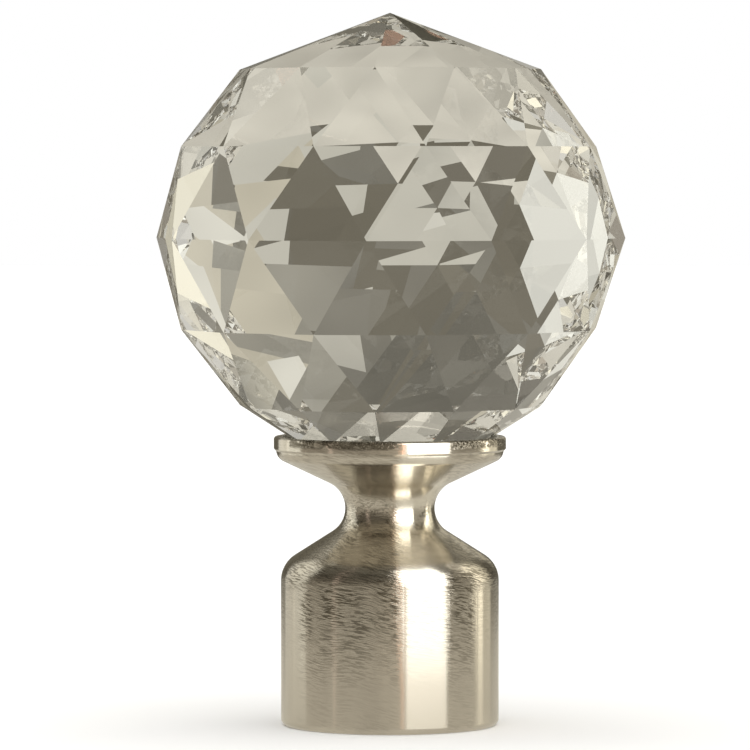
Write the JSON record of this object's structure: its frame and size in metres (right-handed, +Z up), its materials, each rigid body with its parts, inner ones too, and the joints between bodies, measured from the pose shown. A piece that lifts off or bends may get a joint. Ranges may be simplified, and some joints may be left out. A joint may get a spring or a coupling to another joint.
{
  "type": "curtain rod finial",
  "caption": "Faceted clear crystal ball in the rimmed cup of a waisted, turned satin nickel base, open below as a socket that slips over the end of a round rod.",
  "frame": {"origin": "middle of the socket's mouth, on the plane that the part stands on", "axes": "+Z up the axis from the socket's mouth to the crown of the ball, -Y the side that faces the viewer"},
  "size_m": [0.0598, 0.0598, 0.0908],
  "materials": {
    "crystal": "polished, cut in flat facets",
    "satin_nickel": "satin nickel plate with fine lines around the axis"
  },
  "bodies": {
    "root": {"crystal_ball": "crystal", "socket_base": "satin_nickel"}
  },
  "joints": []
}
